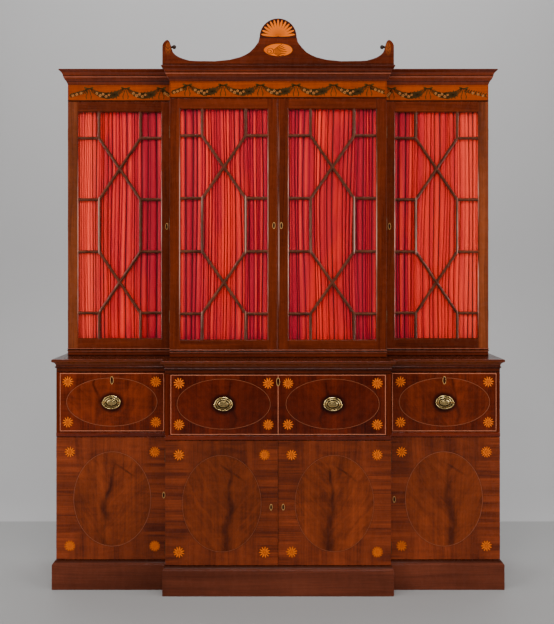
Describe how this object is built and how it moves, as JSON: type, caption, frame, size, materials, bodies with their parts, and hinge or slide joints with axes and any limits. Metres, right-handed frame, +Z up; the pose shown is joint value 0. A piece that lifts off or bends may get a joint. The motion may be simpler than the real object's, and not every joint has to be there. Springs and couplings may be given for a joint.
{
  "type": "secretary bookcase",
  "caption": "Breakfront bookcase with glazed curtained doors, a fall-front secretary drawer, side drawers and cupboards, swan-neck crest and brass bail handles.",
  "frame": {"origin": "on the floor, under the middle of the whole bookcase", "axes": "+Z up, the front faces -Y, +X to the right as seen from the front"},
  "size_m": [2.102, 0.582, 2.6613],
  "materials": {
    "glass": "clear window glass",
    "silk": "gathered red silk",
    "brass": "aged polished brass",
    "plinth_mahogany": "dark polished mahogany",
    "satinwood": "polished satinwood with painted festoons",
    "backboards": "plain unpolished boards",
    "interior_satinwood": "polished satinwood",
    "drawer_lining": "plain waxed boards",
    "upper_mahogany": "polished mahogany",
    "drawer_mahogany": "polished figured mahogany",
    "door_mahogany": "polished flame mahogany",
    "case_mahogany": "polished mahogany"
  },
  "bodies": {
    "root": {"base_back": "backboards", "base_bottom": "case_mahogany", "base_divider_left": "case_mahogany", "base_divider_right": "case_mahogany", "base_side_left": "case_mahogany", "base_side_right": "case_mahogany", "base_top": "case_mahogany", "cornice": "case_mahogany", "dustboard_centre": "case_mahogany", "dustboard_left": "case_mahogany", "dustboard_right": "case_mahogany", "frieze": "satinwood", "pediment": "upper_mahogany", "plinth": "plinth_mahogany", "shelf_centre_1": "case_mahogany", "shelf_centre_2": "case_mahogany", "shelf_left_1": "case_mahogany", "shelf_left_2": "case_mahogany", "shelf_right_1": "case_mahogany", "shelf_right_2": "case_mahogany", "upper_back": "backboards", "upper_bottom": "case_mahogany", "upper_divider_left": "case_mahogany", "upper_divider_right": "case_mahogany", "upper_side_left": "case_mahogany", "upper_side_right": "case_mahogany", "upper_top": "case_mahogany"},
    "cupboard_door_wing_left": {"cupboard_door_wing_left": "door_mahogany"},
    "cupboard_door_centre_left": {"cupboard_door_centre_left": "door_mahogany"},
    "cupboard_door_wing_right": {"cupboard_door_wing_right": "door_mahogany"},
    "cupboard_door_centre_right": {"cupboard_door_centre_right": "door_mahogany"},
    "glazed_door_wing_left": {"glazed_door_wing_left": "upper_mahogany", "glass_wing_left": "glass", "curtain_wing_left": "silk"},
    "glazed_door_centre_left": {"glazed_door_centre_left": "upper_mahogany", "glass_centre_left": "glass", "curtain_centre_left": "silk"},
    "glazed_door_wing_right": {"glazed_door_wing_right": "upper_mahogany", "glass_wing_right": "glass", "curtain_wing_right": "silk"},
    "glazed_door_centre_right": {"glazed_door_centre_right": "upper_mahogany", "glass_centre_right": "glass", "curtain_centre_right": "silk"},
    "drawer_left": {"drawer_left": "drawer_mahogany", "handle_plate_wing_left": "brass"},
    "drawer_right": {"drawer_right": "drawer_mahogany", "handle_plate_wing_right": "brass"},
    "secretary": {"secretary_box": "drawer_lining", "pigeonholes": "interior_satinwood"},
    "fall": {"fall": "drawer_mahogany", "handle_plate_centre_left": "brass", "handle_plate_centre_right": "brass"},
    "small_drawer_left_1": {"small_drawer_left_1": "interior_satinwood"},
    "small_drawer_left_2": {"small_drawer_left_2": "interior_satinwood"},
    "small_drawer_right_1": {"small_drawer_right_1": "interior_satinwood"},
    "small_drawer_right_2": {"small_drawer_right_2": "interior_satinwood"},
    "bail_wing_left": {"bail_wing_left": "brass"},
    "bail_centre_left": {"bail_centre_left": "brass"},
    "bail_wing_right": {"bail_wing_right": "brass"},
    "bail_centre_right": {"bail_centre_right": "brass"}
  },
  "joints": [
    {"name": "cupboard_door_wing_left_hinge", "type": "hinge", "parent": "root", "child": "cupboard_door_wing_left", "pos_m": [-1.0315, -0.162, 0.136], "axis": [0, 0, -1], "range_deg": [0, 110]},
    {"name": "cupboard_door_centre_left_hinge", "type": "hinge", "parent": "root", "child": "cupboard_door_centre_left", "pos_m": [-0.5155, -0.247, 0.136], "axis": [0, 0, -1], "range_deg": [0, 110]},
    {"name": "cupboard_door_wing_right_hinge", "type": "hinge", "parent": "root", "child": "cupboard_door_wing_right", "pos_m": [1.0315, -0.162, 0.136], "axis": [0, 0, 1], "range_deg": [0, 110]},
    {"name": "cupboard_door_centre_right_hinge", "type": "hinge", "parent": "root", "child": "cupboard_door_centre_right", "pos_m": [0.5155, -0.247, 0.136], "axis": [0, 0, 1], "range_deg": [0, 110]},
    {"name": "glazed_door_wing_left_hinge", "type": "hinge", "parent": "root", "child": "glazed_door_wing_left", "pos_m": [-1.0155, 0.003, 1.1034], "axis": [0, 0, -1], "range_deg": [0, 110]},
    {"name": "glazed_door_centre_left_hinge", "type": "hinge", "parent": "root", "child": "glazed_door_centre_left", "pos_m": [-0.5145, -0.082, 1.1034], "axis": [0, 0, -1], "range_deg": [0, 110]},
    {"name": "glazed_door_wing_right_hinge", "type": "hinge", "parent": "root", "child": "glazed_door_wing_right", "pos_m": [1.0155, 0.003, 1.1034], "axis": [0, 0, 1], "range_deg": [0, 110]},
    {"name": "glazed_door_centre_right_hinge", "type": "hinge", "parent": "root", "child": "glazed_door_centre_right", "pos_m": [0.5145, -0.082, 1.1034], "axis": [0, 0, 1], "range_deg": [0, 110]},
    {"name": "drawer_left_slide", "type": "slide", "parent": "root", "child": "drawer_left", "axis": [0, -1, 0], "range_m": [0, 0.32]},
    {"name": "drawer_right_slide", "type": "slide", "parent": "root", "child": "drawer_right", "axis": [0, -1, 0], "range_m": [0, 0.32]},
    {"name": "secretary_slide", "type": "slide", "parent": "root", "child": "secretary", "axis": [0, -1, 0], "range_m": [0, 0.3]},
    {"name": "fall_hinge", "type": "hinge", "parent": "secretary", "child": "fall", "pos_m": [0, -0.247, 0.7393], "axis": [1, 0, 0], "range_deg": [0, 90]},
    {"name": "small_drawer_left_1_slide", "type": "slide", "parent": "secretary", "child": "small_drawer_left_1", "axis": [0, -1, 0], "range_m": [0, 0.12]},
    {"name": "small_drawer_left_2_slide", "type": "slide", "parent": "secretary", "child": "small_drawer_left_2", "axis": [0, -1, 0], "range_m": [0, 0.12]},
    {"name": "small_drawer_right_1_slide", "type": "slide", "parent": "secretary", "child": "small_drawer_right_1", "axis": [0, -1, 0], "range_m": [0, 0.12]},
    {"name": "small_drawer_right_2_slide", "type": "slide", "parent": "secretary", "child": "small_drawer_right_2", "axis": [0, -1, 0], "range_m": [0, 0.12]},
    {"name": "bail_wing_left_swing", "type": "hinge", "parent": "drawer_left", "child": "bail_wing_left", "pos_m": [-0.773, -0.197, 0.8655], "axis": [-1, 0, 0], "range_deg": [0, 90]},
    {"name": "bail_centre_left_swing", "type": "hinge", "parent": "fall", "child": "bail_centre_left", "pos_m": [-0.249, -0.282, 0.8695], "axis": [-1, 0, 0], "range_deg": [0, 90]},
    {"name": "bail_wing_right_swing", "type": "hinge", "parent": "drawer_right", "child": "bail_wing_right", "pos_m": [0.773, -0.197, 0.8655], "axis": [-1, 0, 0], "range_deg": [0, 90]},
    {"name": "bail_centre_right_swing", "type": "hinge", "parent": "fall", "child": "bail_centre_right", "pos_m": [0.249, -0.282, 0.8695], "axis": [-1, 0, 0], "range_deg": [0, 90]}
  ],
  "couplings": [
    {"joint": "fall_hinge", "follows": "secretary_slide", "rad_per_m": 5.2}
  ]
}
